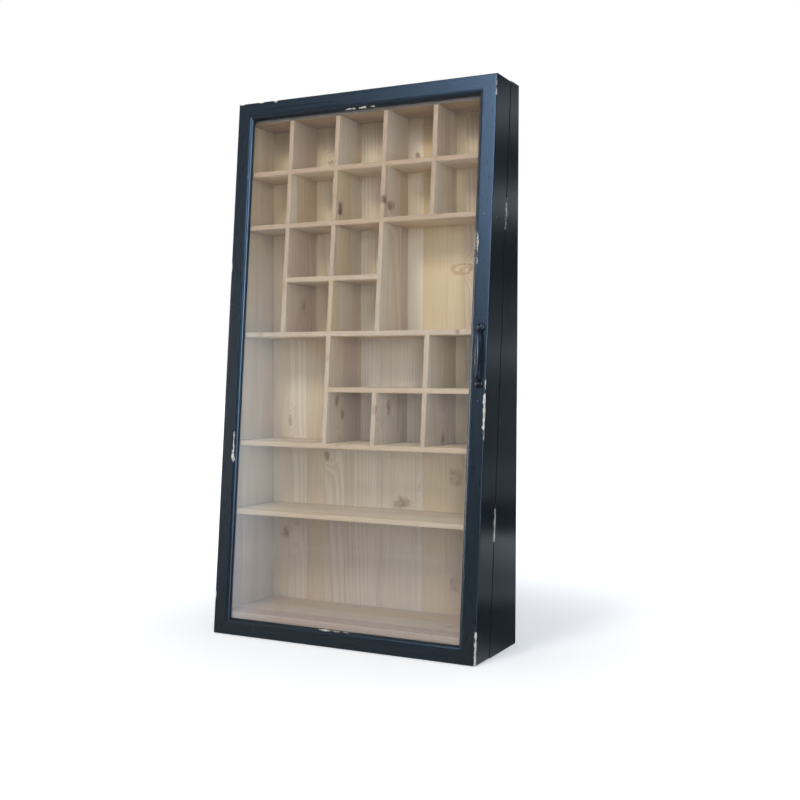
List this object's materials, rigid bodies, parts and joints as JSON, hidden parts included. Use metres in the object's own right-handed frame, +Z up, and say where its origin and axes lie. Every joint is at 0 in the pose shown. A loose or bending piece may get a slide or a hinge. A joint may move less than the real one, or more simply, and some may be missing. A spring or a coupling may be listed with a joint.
{
  "type": "display cabinet",
  "caption": "Wall display cabinet with a worn blue-grey painted case, a sloping deep glazed door on side hinges and a pine grid of compartments.",
  "frame": {"origin": "middle of the base of the case, on the surface it stands on", "axes": "+Z up, -Y out of the glazed front, +Y to the wall, +X to the handle side"},
  "size_m": [0.5353, 0.1878, 1],
  "materials": {
    "painted_wood": "old blue-grey satin paint, worn through to pale wood on the edges",
    "pine": "clear waxed knotty pine, edge-glued staves",
    "pine_boards": "clear waxed pine boards",
    "glass": "clear float glass",
    "black_iron": "blackened iron, rubbed",
    "brass": "dull brass",
    "steel": "zinc-plated steel"
  },
  "bodies": {
    "case": {"back_board_1": "pine_boards", "back_board_2": "pine_boards", "back_board_3": "pine_boards", "back_board_4": "pine_boards", "back_board_5": "pine_boards", "back_board_6": "pine_boards", "case_bottom": "painted_wood", "case_side_left": "painted_wood", "case_side_right": "painted_wood", "case_top": "painted_wood", "catch_magnets": "steel", "divider_row1_line1": "pine", "divider_row1_line2": "pine", "divider_row1_line3": "pine", "divider_row1_line4": "pine", "divider_row2_line1": "pine", "divider_row2_line2": "pine", "divider_row2_line3": "pine", "divider_row2_line4": "pine", "divider_row3_line2": "pine", "divider_row4_line2": "pine", "divider_row5_line4": "pine", "divider_row6_line3": "pine", "divider_row6_line4": "pine", "hanging_plate_screws": "steel", "hanging_plates": "steel", "hinge_case_screws": "brass", "hinge_lower_case_leaf": "brass", "hinge_pins": "brass", "hinge_upper_case_leaf": "brass", "packing_board": "pine_boards", "shelf_1": "pine", "shelf_2": "pine", "shelf_4": "pine", "shelf_6": "pine", "shelf_7": "pine", "short_shelf_lower": "pine", "short_shelf_upper": "pine", "tall_divider_lower": "pine", "tall_divider_upper_1": "pine", "tall_divider_upper_2": "pine", "tray_bottom": "pine", "tray_side_left": "pine", "tray_side_right": "pine", "tray_top": "pine"},
    "door": {"door_glass": "glass", "door_rail_bottom": "painted_wood", "door_rail_top": "painted_wood", "door_stile_left": "painted_wood", "door_stile_right": "painted_wood", "glass_clip_screws": "steel", "glass_clips": "steel", "handle": "black_iron", "handle_screws": "black_iron", "hinge_door_screws": "brass", "hinge_lower_door_leaf": "brass", "hinge_upper_door_leaf": "brass", "strike_discs": "steel"}
  },
  "joints": [
    {"name": "door_hinge", "type": "hinge", "parent": "case", "child": "door", "pos_m": [-0.2678, -0.02109, 0.49464], "axis": [0, -0.0837, -0.9965], "range_deg": [0, 110]}
  ]
}
